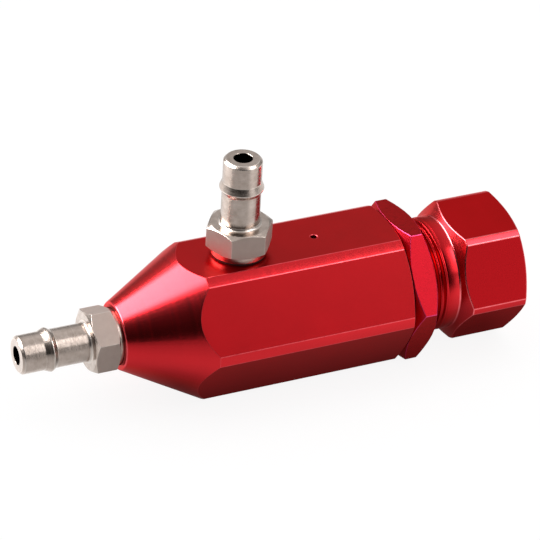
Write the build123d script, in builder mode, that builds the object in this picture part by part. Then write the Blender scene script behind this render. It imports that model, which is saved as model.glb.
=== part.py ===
from build123d import *
import os
from math import radians, sin, sqrt, tan

# Manual boost controller: a hexagonal housing with a coned nose, two barbed hose fittings,
# a spring-loaded ball on a seat, and a threaded adjuster with a hexagonal knob and a lock nut.
# X runs along the main axis from the inlet barb to the knob and Z points up along the outlet barb.
# The origin lies on the housing's bottom flat, straight below the outlet barb. Sizes are in mm.

# Housing outside
BODY_ACROSS_FLATS = 22.0
BODY_TURNED_DIAMETER = 24.45  # the bar's corners are turned down to this
SHOULDER_FROM_PORT = 7.66  # from the outlet axis to where the cone starts
CONE_LENGTH = 12.46
CONE_HALF_ANGLE = 29.2
NOSE_EDGE_RADIUS = 0.6
END_FROM_PORT = 25.6  # from the outlet axis to the face that the lock nut meets
END_CHAMFER_LENGTH = 0.67  # along the axis, also on the knob's outer end
END_CHAMFER_ANGLE = 22.0  # from the end face

# Housing inside
PASSAGE_DIAMETER = 4.4  # air way from the inlet fitting to the ball seat
SEAT_FROM_PORT = 9.0  # from the outlet axis to the seat's small end
SEAT_HALF_ANGLE = 45.0
CHAMBER_GAP = 1.0  # air gap all round the ball
CHAMBER_PAST_PORT = 8.0
MAIN_BORE_DIAMETER = 16.8
DRILL_POINT_HALF_ANGLE = 59.0
TAPPED_DEPTH_MARGIN = 1.0  # the inlet's tapped hole runs this far past the fitting
BLEED_FROM_PORT = 12.66
BLEED_DIAMETER = 1.1
MOUTH_CHAMFER = 0.5

# Barbed fittings, measured up from the surface that the seal lies on
BARB_DIAMETER = 6.0
BARB_BORE_DIAMETER = 2.9
BARB_BORE_CHAMFER = 0.15
FITTING_HEIGHT = 16.475
BARB_TIP_CHAMFER = 0.4
BEAD_DIAMETER = 6.9
BEAD_FROM_TIP = 4.93
BEAD_LEAD_LENGTH = 1.15
BEAD_BACK_LENGTH = 0.7
BEAD_ROUNDING = 0.3
BARB_ROOT_RADIUS = 0.45
FITTING_ACROSS_FLATS = 9.2
FITTING_HEX_LOW = 1.38
FITTING_HEX_HIGH = 5.33
FITTING_HEX_CHAMFER_ANGLE = 30.0
FITTING_HEX_TOP_DIAMETER = 8.9
COLLAR_DIAMETER = 8.76
COLLAR_EDGE = 0.12
SHANK_DIAMETER = 5.9  # pitch diameter of an M6 thread, made plain
SHANK_LENGTH = 5.0
SHANK_CHAMFER = 0.5
SHANK_CLEARANCE = 0.05
INLET_RECESS_DEPTH = 0.8
INLET_RECESS_CLEARANCE = 0.12
OUTLET_HEX_TURN = 54.1  # of a corner about the outlet axis, from +X
INLET_HEX_TURN = 98.6  # of a corner about the main axis, from +Y towards +Z

# Seals under the fittings
SEAL_THICKNESS = 0.3
SEAL_DIAMETER = 8.4
SEAL_BORE_CLEARANCE = 0.15

# Ball and spring
BALL_DIAMETER = 8.0
BALL_CLEARANCE = 0.05
WIRE_DIAMETER = 1.0
SPRING_MEAN_DIAMETER = 6.2
SPRING_TURNS = 7.0
SPRING_CLEARANCE = 0.05
SPRING_GRIND = 0.25  # taken off each end coil to make it flat

# Adjuster: threaded stem, neck and knob in one piece
THREAD_DIAMETER = 18.0
THREAD_PITCH = 1.0
THREAD_CLEARANCE = 0.06
THREAD_DEPTH_RATIO = 0.5413  # groove depth over pitch, for a 60 degree metric thread
THREAD_FLANK_ANGLE = 30.0
THREAD_LAND_MARGIN = 0.05  # how far the cutter stands above the crest, over the pitch
STEM_IN_BODY = 9.4
STEM_END_CHAMFER = 0.8
THREAD_SHOWING = 2.75  # between the lock nut and the neck
TRAVEL_IN = 2.5  # how far the adjuster screws in from here
THREAD_RUNOUT = 0.4
NECK_LENGTH = 2.2
NECK_RADIUS = 0.4
KNOB_ACROSS_FLATS = 19.75
KNOB_TURNED_DIAMETER = 22.2
KNOB_SHOULDER_ANGLE = 35.0  # of the shoulder cone, from a plane across the axis
KNOB_CORNER_LENGTH = 9.22
KNOB_TURN = 126.6  # of a corner about the main axis, from +Y towards +Z
POCKET_DEPTH = 3.8
POCKET_CLEARANCE = 0.2

# Lock nut
NUT_ACROSS_FLATS = 22.0
NUT_THICKNESS = 3.8
NUT_CHAMFER_ANGLE = 30.0
NUT_TURN = 115.8  # of a corner about the main axis, from +Y towards +Z

# Places that follow from the sizes above
AXIS_HEIGHT = BODY_ACROSS_FLATS / 2
TOP_FLAT = BODY_ACROSS_FLATS
SHOULDER_X = -SHOULDER_FROM_PORT
NOSE_X = SHOULDER_X - CONE_LENGTH
NOSE_RADIUS = BODY_TURNED_DIAMETER / 2 - CONE_LENGTH * tan(radians(CONE_HALF_ANGLE))
END_X = END_FROM_PORT
SEAT_X = -SEAT_FROM_PORT
CHAMBER_RADIUS = BALL_DIAMETER / 2 + CHAMBER_GAP
INLET_SEAT_X = NOSE_X + INLET_RECESS_DEPTH
TAPPED_RADIUS = SHANK_DIAMETER / 2 + SHANK_CLEARANCE
STEM_X = END_X - STEM_IN_BODY
THREAD_BORE_X = STEM_X - TRAVEL_IN - THREAD_RUNOUT
THREAD_END_X = END_X + NUT_THICKNESS + THREAD_SHOWING
NECK_END_X = THREAD_END_X + NECK_LENGTH
BALL_TOUCH_X = (BALL_DIAMETER / 2 + BALL_CLEARANCE) / sin(radians(SEAT_HALF_ANGLE))
BALL_X = SEAT_X - PASSAGE_DIAMETER / 2 / tan(radians(SEAT_HALF_ANGLE)) + BALL_TOUCH_X
MAIN_AXIS = Axis((0, 0, AXIS_HEIGHT), (1, 0, 0))
SAME_SIZE = 1e-3  # two sizes nearer than this are the same


def across_plane(x):
    """A plane square to the main axis at x, with its own X along +Y and its own Y along +Z."""
    return Plane(origin=(x, 0, AXIS_HEIGHT), x_dir=(0, 1, 0), z_dir=(1, 0, 0))


def profile_plane():
    """The upright plane through the main axis: its own X is the axis and its own Y the radius."""
    return Plane(origin=(0, 0, AXIS_HEIGHT), x_dir=(1, 0, 0), z_dir=(0, -1, 0))


def save(part, name):
    """Label a finished piece and write it."""
    part.label = name
    export_step(part, f"parts/{name}.step")


def end_face_radius(turned_diameter):
    """Radius of the flat that the end chamfer leaves on a turned hexagon."""
    return turned_diameter / 2 - END_CHAMFER_LENGTH / tan(radians(END_CHAMFER_ANGLE))


os.makedirs("parts", exist_ok=True)

# Housing: a hexagonal bar with its corners and nose turned, bored from the knob's end
body_radius = BODY_TURNED_DIAMETER / 2
thread_bore_radius = THREAD_DIAMETER / 2 + THREAD_CLEARANCE
main_bore_radius = MAIN_BORE_DIAMETER / 2
passage_radius = PASSAGE_DIAMETER / 2
recess_radius = COLLAR_DIAMETER / 2 + INLET_RECESS_CLEARANCE
seat_end_x = SEAT_X + (CHAMBER_RADIUS - passage_radius) / tan(radians(SEAT_HALF_ANGLE))
drill_point_length = (main_bore_radius - CHAMBER_RADIUS) / tan(radians(DRILL_POINT_HALF_ANGLE))
inlet_tap_end_x = INLET_SEAT_X + SEAL_THICKNESS + SHANK_LENGTH + TAPPED_DEPTH_MARGIN
with BuildPart() as body:
    with BuildSketch(across_plane(NOSE_X)):
        RegularPolygon(BODY_ACROSS_FLATS / 2, 6, major_radius=False)
    extrude(amount=END_X - NOSE_X)
    with BuildSketch(profile_plane()) as body_outline:
        with BuildLine():
            Polyline(
                (NOSE_X, 0),
                (NOSE_X, NOSE_RADIUS),
                (SHOULDER_X, body_radius),
                (END_X - END_CHAMFER_LENGTH, body_radius),
                (END_X, end_face_radius(BODY_TURNED_DIAMETER)),
                (END_X, 0),
                close=True,
            )
        make_face()
        nose_corner = body_outline.vertices().sort_by_distance((NOSE_X, 0, AXIS_HEIGHT + NOSE_RADIUS))[0]
        fillet(nose_corner, NOSE_EDGE_RADIUS)
    revolve(axis=MAIN_AXIS, mode=Mode.INTERSECT)
    with BuildSketch(profile_plane()):
        with BuildLine():
            Polyline(
                (NOSE_X, 0),
                (NOSE_X, recess_radius),
                (INLET_SEAT_X, recess_radius),
                (INLET_SEAT_X, TAPPED_RADIUS),
                (inlet_tap_end_x, TAPPED_RADIUS),
                (inlet_tap_end_x, passage_radius),
                (SEAT_X, passage_radius),
                (seat_end_x, CHAMBER_RADIUS),
                (CHAMBER_PAST_PORT, CHAMBER_RADIUS),
                (CHAMBER_PAST_PORT + drill_point_length, main_bore_radius),
                (THREAD_BORE_X, main_bore_radius),
                (THREAD_BORE_X, thread_bore_radius),
                (END_X - MOUTH_CHAMFER, thread_bore_radius),
                (END_X, thread_bore_radius + MOUTH_CHAMFER),
                (END_X, 0),
                close=True,
            )
        make_face()
    revolve(axis=MAIN_AXIS, mode=Mode.SUBTRACT)
    with BuildSketch(Plane.XY.offset(TOP_FLAT)):
        Circle(TAPPED_RADIUS)
    extrude(amount=TAPPED_RADIUS - BODY_ACROSS_FLATS / 2, mode=Mode.SUBTRACT)
    with BuildSketch(Plane.XY.offset(TOP_FLAT)):
        with Locations((BLEED_FROM_PORT, 0)):
            Circle(BLEED_DIAMETER / 2)
    extrude(amount=-BODY_ACROSS_FLATS / 2, mode=Mode.SUBTRACT)
save(body.part, "body")


def barb_outline():
    """Half section of a fitting: axis along Y, radius along X, the seal's underside at 0."""
    tip = FITTING_HEIGHT
    bead = tip - BEAD_FROM_TIP
    barb = BARB_DIAMETER / 2
    bore = BARB_BORE_DIAMETER / 2
    collar = COLLAR_DIAMETER / 2
    shank = SHANK_DIAMETER / 2
    shank_end = SEAL_THICKNESS - SHANK_LENGTH
    return (
        (bore, shank_end),
        (shank - SHANK_CHAMFER, shank_end),
        (shank, shank_end + SHANK_CHAMFER),
        (shank, SEAL_THICKNESS),
        (collar - COLLAR_EDGE, SEAL_THICKNESS),
        (collar, SEAL_THICKNESS + COLLAR_EDGE),
        (collar, (FITTING_HEX_LOW + FITTING_HEX_HIGH) / 2),
        (barb, (FITTING_HEX_LOW + FITTING_HEX_HIGH) / 2),
        (barb, bead - BEAD_BACK_LENGTH),
        (BEAD_DIAMETER / 2, bead),
        (barb, bead + BEAD_LEAD_LENGTH),
        (barb, tip - BARB_TIP_CHAMFER),
        (barb - BARB_TIP_CHAMFER, tip),
        (bore + BARB_BORE_CHAMFER, tip),
        (bore, tip - BARB_BORE_CHAMFER),
    )


def fitting_blank():
    """Half section of the turned blank that bounds a fitting's hexagon, chamfered at both ends."""
    corner = FITTING_ACROSS_FLATS / sqrt(3)
    low = FITTING_ACROSS_FLATS / 2
    high = FITTING_HEX_TOP_DIAMETER / 2
    slope = tan(radians(FITTING_HEX_CHAMFER_ANGLE))
    return (
        (0, FITTING_HEX_LOW),
        (low, FITTING_HEX_LOW),
        (corner, FITTING_HEX_LOW + (corner - low) * slope),
        (corner, FITTING_HEX_HIGH - (corner - high) * slope),
        (high, FITTING_HEX_HIGH),
        (0, FITTING_HEX_HIGH),
    )


def make_fitting(seat, hex_turn, name):
    """One barbed fitting that stands on the seat plane, along that plane's normal."""
    section = Plane(origin=seat.origin, x_dir=seat.x_dir, z_dir=-seat.y_dir)
    axis = Axis(seat.origin, seat.z_dir)
    with BuildPart() as fitting:
        with BuildSketch(seat.offset(FITTING_HEX_LOW)):
            RegularPolygon(FITTING_ACROSS_FLATS / 2, 6, major_radius=False, rotation=hex_turn)
        extrude(amount=FITTING_HEX_HIGH - FITTING_HEX_LOW)
        with BuildSketch(section):
            with BuildLine():
                Polyline(*fitting_blank(), close=True)
            make_face()
        revolve(axis=axis, mode=Mode.INTERSECT)
        with BuildSketch(section):
            with BuildLine():
                Polyline(*barb_outline(), close=True)
            make_face()
        revolve(axis=axis)
        with BuildSketch(seat.offset(FITTING_HEIGHT)):
            Circle(BARB_BORE_DIAMETER / 2)
        extrude(amount=SEAL_THICKNESS - SHANK_LENGTH - FITTING_HEIGHT, mode=Mode.SUBTRACT)
        root_edges = fitting.edges().filter_by(GeomType.CIRCLE).filter_by(is_barb_root(seat))
        fillet(root_edges, BARB_ROOT_RADIUS)
        bead_edges = fitting.edges().filter_by(GeomType.CIRCLE).filter_by(is_bead_crest)
        fillet(bead_edges, BEAD_ROUNDING)
    save(fitting.part, name)


def is_barb_root(seat):
    """Test for the circle where the barb meets the top of the hexagon."""
    top = seat.offset(FITTING_HEX_HIGH)

    def test(edge):
        on_top = abs(top.to_local_coords(edge.arc_center).Z) < SAME_SIZE
        return on_top and abs(edge.radius - BARB_DIAMETER / 2) < SAME_SIZE

    return test


def is_bead_crest(edge):
    """Test for the widest circle of the bead."""
    return abs(edge.radius - BEAD_DIAMETER / 2) < SAME_SIZE


def make_seal(seat, name):
    """One flat sealing ring under a fitting's collar."""
    with BuildPart() as seal:
        with BuildSketch(seat):
            Circle(SEAL_DIAMETER / 2)
            Circle(SHANK_DIAMETER / 2 + SEAL_BORE_CLEARANCE, mode=Mode.SUBTRACT)
        extrude(amount=SEAL_THICKNESS)
    save(seal.part, name)


# Fittings and seals: the same two pieces at the nose and on the top flat
outlet_seat = Plane(origin=(0, 0, TOP_FLAT), x_dir=(1, 0, 0), z_dir=(0, 0, 1))
inlet_seat = Plane(origin=(INLET_SEAT_X, 0, AXIS_HEIGHT), x_dir=(0, 1, 0), z_dir=(-1, 0, 0))
make_fitting(outlet_seat, OUTLET_HEX_TURN, "outlet_fitting")
make_fitting(inlet_seat, -INLET_HEX_TURN, "inlet_fitting")
make_seal(outlet_seat, "outlet_seal")
make_seal(inlet_seat, "inlet_seal")

# Ball: rests in the conical seat
with BuildPart() as valve_ball:
    with Locations((BALL_X, 0, AXIS_HEIGHT)):
        Sphere(BALL_DIAMETER / 2)
save(valve_ball.part, "valve_ball")

# Spring: from the ball to the floor of the pocket in the stem, its end coils ground flat
pocket_floor_x = STEM_X + POCKET_DEPTH
wire_radius = WIRE_DIAMETER / 2
coil_radius = SPRING_MEAN_DIAMETER / 2
ball_reach = sqrt((BALL_DIAMETER / 2 + wire_radius) ** 2 - coil_radius**2)
spring_low_x = BALL_X + ball_reach - wire_radius + SPRING_GRIND + SPRING_CLEARANCE
spring_high_x = pocket_floor_x - SPRING_CLEARANCE
wire_low_x = spring_low_x - SPRING_GRIND + wire_radius
wire_high_x = spring_high_x + SPRING_GRIND - wire_radius
coil_pitch = (wire_high_x - wire_low_x) / SPRING_TURNS
with BuildPart() as valve_spring:
    with BuildLine() as coil:
        Helix(
            pitch=coil_pitch,
            height=wire_high_x - wire_low_x,
            radius=coil_radius,
            center=(wire_low_x, 0, AXIS_HEIGHT),
            direction=(1, 0, 0),
        )
    with BuildSketch(Plane(origin=coil.line @ 0, z_dir=coil.line % 0)):
        Circle(wire_radius)
    sweep(path=coil.line, is_frenet=True)
    with BuildSketch(across_plane(spring_low_x)):
        Circle(SPRING_MEAN_DIAMETER)
    extrude(amount=spring_high_x - spring_low_x, mode=Mode.INTERSECT)
save(valve_spring.part, "valve_spring")

# Threaded stem: the adjuster's inner end, with a helical groove and the spring pocket
thread_radius = THREAD_DIAMETER / 2
groove_depth = THREAD_DEPTH_RATIO * THREAD_PITCH
groove_root = THREAD_PITCH / 4
groove_rise = THREAD_LAND_MARGIN * THREAD_PITCH
groove_mouth = groove_root + 2 * (groove_depth + groove_rise) * tan(radians(THREAD_FLANK_ANGLE))
groove_start_x = STEM_X - THREAD_PITCH
with BuildPart() as stem:
    with BuildSketch(across_plane(STEM_X)):
        Circle(thread_radius)
    extrude(amount=THREAD_END_X + THREAD_PITCH - STEM_X)
    with BuildLine() as thread_path:
        Helix(
            pitch=THREAD_PITCH,
            height=THREAD_END_X - groove_start_x,
            radius=thread_radius,
            center=(groove_start_x, 0, AXIS_HEIGHT),
            direction=(1, 0, 0),
        )
    groove_start = thread_path.line @ 0
    outward = groove_start - Vector(groove_start_x, 0, AXIS_HEIGHT)
    with BuildSketch(Plane(origin=groove_start, x_dir=outward, z_dir=thread_path.line % 0)):
        with BuildLine():
            Polyline(
                (-groove_depth, -groove_root / 2),
                (groove_rise, -groove_mouth / 2),
                (groove_rise, groove_mouth / 2),
                (-groove_depth, groove_root / 2),
                close=True,
            )
        make_face()
    sweep(path=thread_path.line, is_frenet=True, mode=Mode.SUBTRACT)
    with BuildSketch(profile_plane()):
        with BuildLine():
            Polyline(
                (STEM_X, thread_radius - STEM_END_CHAMFER),
                (STEM_X + 2 * STEM_END_CHAMFER, thread_radius + STEM_END_CHAMFER),
                (STEM_X, thread_radius + STEM_END_CHAMFER),
                close=True,
            )
        make_face()
    revolve(axis=MAIN_AXIS, mode=Mode.SUBTRACT)
    with BuildSketch(across_plane(STEM_X)):
        Circle(coil_radius + wire_radius + POCKET_CLEARANCE)
    extrude(amount=POCKET_DEPTH, mode=Mode.SUBTRACT)

# Adjuster: neck and hexagonal knob, turned in one piece with the stem
knob_radius = KNOB_TURNED_DIAMETER / 2
knob_corner_x = NECK_END_X + (knob_radius - thread_radius) * tan(radians(KNOB_SHOULDER_ANGLE))
knob_chamfer_x = knob_corner_x + KNOB_CORNER_LENGTH
knob_end_x = knob_chamfer_x + END_CHAMFER_LENGTH
with BuildPart() as adjuster:
    with BuildSketch(across_plane(THREAD_END_X)):
        RegularPolygon(KNOB_ACROSS_FLATS / 2, 6, major_radius=False, rotation=KNOB_TURN)
    extrude(amount=knob_end_x - THREAD_END_X)
    with BuildSketch(profile_plane()) as knob_outline:
        with BuildLine():
            Polyline(
                (THREAD_END_X, 0),
                (THREAD_END_X, thread_radius),
                (NECK_END_X, thread_radius),
                (knob_corner_x, knob_radius),
                (knob_chamfer_x, knob_radius),
                (knob_end_x, end_face_radius(KNOB_TURNED_DIAMETER)),
                (knob_end_x, 0),
                close=True,
            )
        make_face()
        neck_place = (NECK_END_X, 0, AXIS_HEIGHT + thread_radius)
        neck_corner = knob_outline.vertices().sort_by_distance(neck_place)[0]
        fillet(neck_corner, NECK_RADIUS)
    revolve(axis=MAIN_AXIS, mode=Mode.INTERSECT)
    add(stem.part)
save(adjuster.part, "adjuster")

# Lock nut: bears on the housing's end face
nut_radius = NUT_ACROSS_FLATS / sqrt(3)
nut_end_x = END_X + NUT_THICKNESS
nut_face_radius = NUT_ACROSS_FLATS / 2
nut_chamfer_length = (nut_radius - nut_face_radius) * tan(radians(NUT_CHAMFER_ANGLE))
with BuildPart() as lock_nut:
    with BuildSketch(across_plane(END_X)):
        RegularPolygon(NUT_ACROSS_FLATS / 2, 6, major_radius=False, rotation=NUT_TURN)
    extrude(amount=NUT_THICKNESS)
    with BuildSketch(profile_plane()):
        with BuildLine():
            Polyline(
                (END_X, thread_bore_radius + MOUTH_CHAMFER),
                (END_X, nut_face_radius),
                (END_X + nut_chamfer_length, nut_radius),
                (nut_end_x - nut_chamfer_length, nut_radius),
                (nut_end_x, nut_face_radius),
                (nut_end_x, thread_bore_radius + MOUTH_CHAMFER),
                (nut_end_x - MOUTH_CHAMFER, thread_bore_radius),
                (END_X + MOUTH_CHAMFER, thread_bore_radius),
                close=True,
            )
        make_face()
    revolve(axis=MAIN_AXIS, mode=Mode.INTERSECT)
save(lock_nut.part, "lock_nut")
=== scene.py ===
import logging
from collections.abc import Sequence
from dataclasses import dataclass, replace
from enum import Enum
from math import acos, ceil, cos, pi, radians, sin, sqrt, tan

import bpy
import numpy as np
from mathutils import Matrix, Vector


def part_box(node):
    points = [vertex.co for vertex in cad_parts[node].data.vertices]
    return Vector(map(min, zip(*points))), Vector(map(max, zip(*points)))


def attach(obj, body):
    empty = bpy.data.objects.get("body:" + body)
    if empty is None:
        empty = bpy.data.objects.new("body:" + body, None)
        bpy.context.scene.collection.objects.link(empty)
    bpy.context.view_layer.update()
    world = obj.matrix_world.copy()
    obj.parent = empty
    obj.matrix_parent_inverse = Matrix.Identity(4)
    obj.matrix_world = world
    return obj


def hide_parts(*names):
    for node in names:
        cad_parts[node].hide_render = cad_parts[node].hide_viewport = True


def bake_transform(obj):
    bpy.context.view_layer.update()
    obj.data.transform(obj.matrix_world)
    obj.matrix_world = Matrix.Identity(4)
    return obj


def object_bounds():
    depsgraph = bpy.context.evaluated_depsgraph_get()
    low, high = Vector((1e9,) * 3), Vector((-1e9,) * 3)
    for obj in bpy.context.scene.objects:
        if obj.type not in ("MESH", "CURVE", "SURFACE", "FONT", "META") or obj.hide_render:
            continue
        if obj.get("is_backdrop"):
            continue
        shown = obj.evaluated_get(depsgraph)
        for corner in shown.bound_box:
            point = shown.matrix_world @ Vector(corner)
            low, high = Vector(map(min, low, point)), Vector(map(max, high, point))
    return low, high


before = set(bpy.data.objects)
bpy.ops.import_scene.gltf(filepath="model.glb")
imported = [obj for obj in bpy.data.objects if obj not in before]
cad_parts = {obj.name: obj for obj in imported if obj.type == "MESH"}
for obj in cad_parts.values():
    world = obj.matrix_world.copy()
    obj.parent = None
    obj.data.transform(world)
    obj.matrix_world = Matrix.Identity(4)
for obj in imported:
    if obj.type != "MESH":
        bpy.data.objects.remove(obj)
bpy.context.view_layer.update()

# Manual boost controller: red anodised housing, knob and lock nut, two nickel-plated hose fittings,
# and the ball and spring inside. X runs along the main axis from the inlet barb to the knob, with 0 at
# the outlet barb, and Z runs up along that barb. The pieces' sizes are in millimetres and their angles
# in degrees, and their meshes are in metres.

MM = 0.001
WELD = 1e-8  # metres: points nearer than this are one
TINY = 1e-8  # mm, in place of the length of a side that has none
CREASE = 50  # degrees: edges that turn more than this aren't shaded smooth
ARC_POINTS = 5  # points across a rounded edge
SUPPORT = 0.07  # mm from a rounded edge to the row that keeps the flat beside it flat
SUPPORT_SHARE = 0.1  # of a side, the most that such a row is in from its end
CUT_SHARE = 0.35  # of the shorter side, the most that a rounding takes off it
SHARPEST = 0.99  # cosine of the sharpest corner that is rounded
SIXTH = pi / 3  # a hexagon's share of a turn, in radians
BLACK = (0.0, 0.0, 0.0)
WHITE = (1.0, 1.0, 1.0)
Places = float | np.ndarray
Triple = tuple[float, float, float]  # a point or a direction
Colour = tuple[float, float, float]  # linear red, green and blue
Source = bpy.types.NodeSocket | float | Colour
log = logging.getLogger("boost_controller")


class Slot(Enum):
    """Material slots of the record."""

    RED = "red_anodised"
    NICKEL = "nickel_plate"
    RUBBER = "seal_rubber"
    BALL = "ball_steel"
    SPRING = "spring_steel"


class Body(Enum):
    """Bodies that the pieces ride on."""

    HOUSING = "housing"
    SPRING_END = "spring_end"
    ADJUSTER = "adjuster"
    LOCK_NUT = "lock_nut"


def put_in_scene(name: str, data: bpy.types.ID) -> bpy.types.Object:
    """Make an object of a mesh, a lamp or a camera, and link it to the scene.

    Args:
        name: The object's name.
        data: The mesh, lamp or camera.

    Returns:
        The object, at the origin.
    """
    holder = bpy.data.objects.new(name, data)
    bpy.context.scene.collection.objects.link(holder)
    return holder


# Surfaces

@dataclass(frozen=True)
class Seat:
    """Where a turned piece stands: the foot of its axis, its axis, and the side that turns count from."""

    foot: Triple
    axis: Triple
    side: Triple

    def place(self, along: Places, out: Places, turn: Places) -> np.ndarray:
        """Carry section sizes round the axis and into the frame.

        A point is the foot, plus its distance along the axis, plus its distance out times a unit
        vector that turns from the side towards the axis crossed with the side.

        Args:
            along: Distances along the axis, in millimetres.
            out: Distances from the axis, in millimetres.
            turn: Turns about the axis, in radians.

        Returns:
            The points in metres, with the coordinates as the last index.
        """
        axis = np.array(self.axis, float)
        side = np.array(self.side, float)
        third = np.cross(axis, side)
        along, out, turn = np.broadcast_arrays(along, out, turn)
        points = along[..., None] * axis
        points = points + (out * np.cos(turn))[..., None] * side
        points = points + (out * np.sin(turn))[..., None] * third
        return (points + np.array(self.foot)) * MM


@dataclass(frozen=True)
class Columns:
    """Directions round an axis: turn in radians, how far the bar reaches there in millimetres, and
    masks that are 1 on a rounded edge and where a lathe cut the bar's corner."""

    turn: np.ndarray
    reach: np.ndarray
    edge: np.ndarray
    turned: np.ndarray

    def closed(self) -> "Columns":
        """The same directions, with the first one again at the end, a whole turn on.

        Returns:
            The directions, one more than before.
        """
        parts = (np.append(part, part[0]) for part in (self.reach, self.edge, self.turned))
        return Columns(np.append(self.turn, self.turn[0] + 2 * pi), *parts)


def conic(
    start: np.ndarray, middle: np.ndarray, end: np.ndarray, weight: Places, step: float
) -> np.ndarray:
    """A point of the arc that touches two lines at start and end and rounds their corner at middle.

    The point is (1-s)^2 start + 2 w s (1-s) middle + s^2 end, divided by the sum of those three
    factors, which is a true circle where w is the cosine of half the turn.

    Args:
        start: Where the arc leaves the first line.
        middle: The corner that it rounds.
        end: Where it meets the second line.
        weight: Cosine of half the turn.
        step: How far along the arc, from 0 to 1.

    Returns:
        The points, shaped like the corners.
    """
    near = (1 - step) ** 2
    across = 2 * weight * step * (1 - step)
    far = step**2
    return (near * start + across * middle + far * end) / (near + across + far)


@dataclass(frozen=True)
class HexBar:
    """A hexagonal bar, with sharp corners, or corners turned down to a circle's diameter.

    The columns of half a flat stand at flat_places, which count from the flat's middle, or are spread
    evenly where there are none.
    """

    across_flats: float
    corner_turn: float
    turned_diameter: float | None = None
    edge_length: float = 0.1
    flat_places: tuple[float, ...] = ()
    flat_steps: int = 5
    strip_steps: int = 3

    def columns(self) -> Columns:
        """The bar's outline across its axis, as directions with their reach.

        Half a flat is a straight line at the apothem, the edge is a conic that rounds the crossing of
        the flat with the turned circle (or with the next flat), and the rest is that circle. Half an
        outline is mirrored about the flat's middle and repeated round the six flats.

        Returns:
            The directions, once round.
        """
        apothem = self.across_flats / 2
        sharp = self.turned_diameter is None
        radius = apothem / cos(SIXTH / 2) if sharp else self.turned_diameter / 2
        crossing = sqrt(radius**2 - apothem**2)
        flat_end = crossing - self.edge_length
        places = self.flat_places or tuple(np.linspace(0, flat_end - SUPPORT, self.flat_steps)[:-1])
        flat = np.array([*places, flat_end - SUPPORT])
        start = np.array([apothem, flat_end])
        middle = np.array([apothem, crossing])
        if sharp:
            mirror = np.array([[cos(SIXTH), sin(SIXTH)], [sin(SIXTH), -cos(SIXTH)]])
            end = mirror @ start
            weight = cos(SIXTH / 2)
            steps = np.linspace(0, 0.5, ARC_POINTS)
            strip = np.array([])
        else:
            strip_start = acos(apothem / radius) + self.edge_length / radius
            end = radius * np.array([cos(strip_start), sin(strip_start)])
            weight = cos(acos(apothem / radius) / 2)
            steps = np.linspace(0, 1, ARC_POINTS)
            strip = np.linspace(strip_start + SUPPORT / radius, SIXTH / 2, self.strip_steps)
        arc = np.array([conic(start, middle, end, weight, step) for step in steps])
        arc_x, arc_y = arc.T
        turn = np.concatenate([np.arctan2(flat, apothem), np.arctan2(arc_y, arc_x), strip])
        reach = np.concatenate([np.hypot(flat, apothem), np.hypot(arc_x, arc_y), strip * 0 + radius])
        edge = np.concatenate([flat * 0, np.sin(pi * steps), strip * 0])
        turned = np.concatenate([flat * 0, steps * (0 if sharp else 1), strip * 0 + 1])
        both = (np.concatenate([part[::-1], part[1:-1]]) for part in (reach, edge, turned))
        reach, edge, turned = (np.tile(part, 6) for part in both)
        sixth = np.concatenate([-turn[::-1], turn[1:-1]])
        middles = radians(self.corner_turn) + SIXTH / 2 + np.arange(6) * SIXTH
        return Columns((middles[:, None] + sixth).ravel(), reach, edge, turned)


def round_columns(radius: float, count: int) -> Columns:
    """Evenly spaced directions round a plain round piece.

    Args:
        radius: Its radius, in millimetres.
        count: How many directions.

    Returns:
        The directions, once round.
    """
    turn = np.arange(count) * 2 * pi / count
    return Columns(turn, turn * 0 + radius, turn * 0, turn * 0 + 1)


@dataclass(frozen=True)
class Corner:
    """One corner of a half section. Along and out are numbers, or arrays with a value for each column;
    on_bar says that the surface from here to the next corner is the bar's own outside."""

    along: Places
    out: Places
    rounding: float = 0.0
    on_bar: bool = False


@dataclass
class Skin:
    """A grid of section rows by columns, with the row that each corner starts at."""

    along: np.ndarray
    out: np.ndarray
    edge: np.ndarray
    turned: np.ndarray
    first_rows: list[int]

    def splice(self, row: int, along: np.ndarray, out: np.ndarray, turned: float) -> None:
        """Put more rows in before one row.

        Args:
            row: The row that the new ones go before.
            along: Their distances along the axis, rows by columns.
            out: Their distances from the axis, rows by columns.
            turned: Their mask for turned surfaces.
        """
        self.along = np.insert(self.along, [row] * len(along), along, axis=0)
        self.out = np.insert(self.out, [row] * len(along), out, axis=0)
        self.edge = np.insert(self.edge, [row] * len(along), 0.0, axis=0)
        self.turned = np.insert(self.turned, [row] * len(along), turned, axis=0)


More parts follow.
